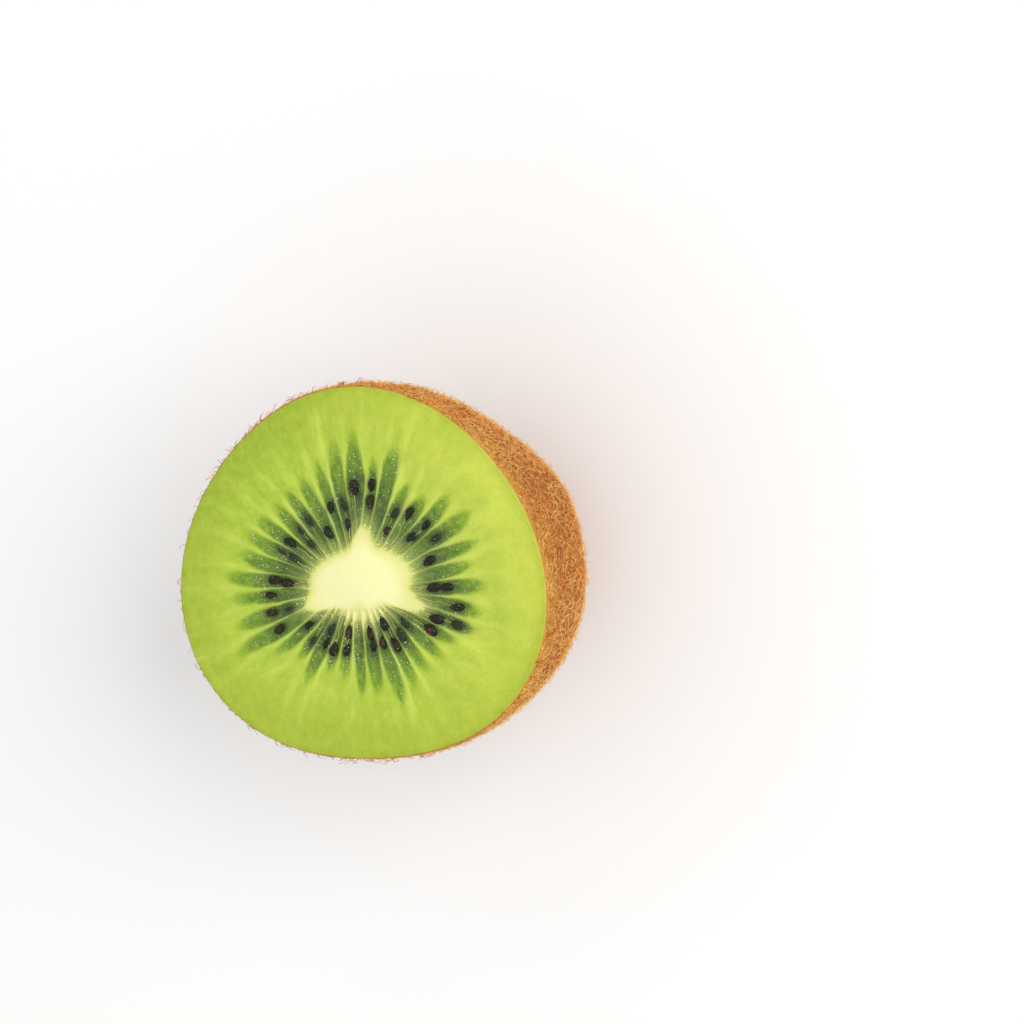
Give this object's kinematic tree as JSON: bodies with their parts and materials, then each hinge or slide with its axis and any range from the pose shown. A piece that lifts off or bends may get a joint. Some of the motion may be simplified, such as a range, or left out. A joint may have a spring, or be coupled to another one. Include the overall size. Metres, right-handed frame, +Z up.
{
  "type": "kiwi fruit half",
  "caption": "Half of a ripe green kiwi fruit, cut across, with pale core, ring of dark seeds, juicy flesh and thin furry brown skin, resting on its stem end with the cut up.",
  "frame": {"origin": "middle of the half's footprint, at the level of the stem scar's collar that it rests on", "axes": "+Z up, along the fruit's own axis, out of the cut face; +Y along the longer width of the cut face, away from the side that the picture shows"},
  "size_m": [0.047, 0.0524, 0.0342],
  "materials": {
    "flesh": "moist, slightly translucent"
  },
  "bodies": {
    "root": {"kiwi_half": "flesh"}
  },
  "joints": []
}
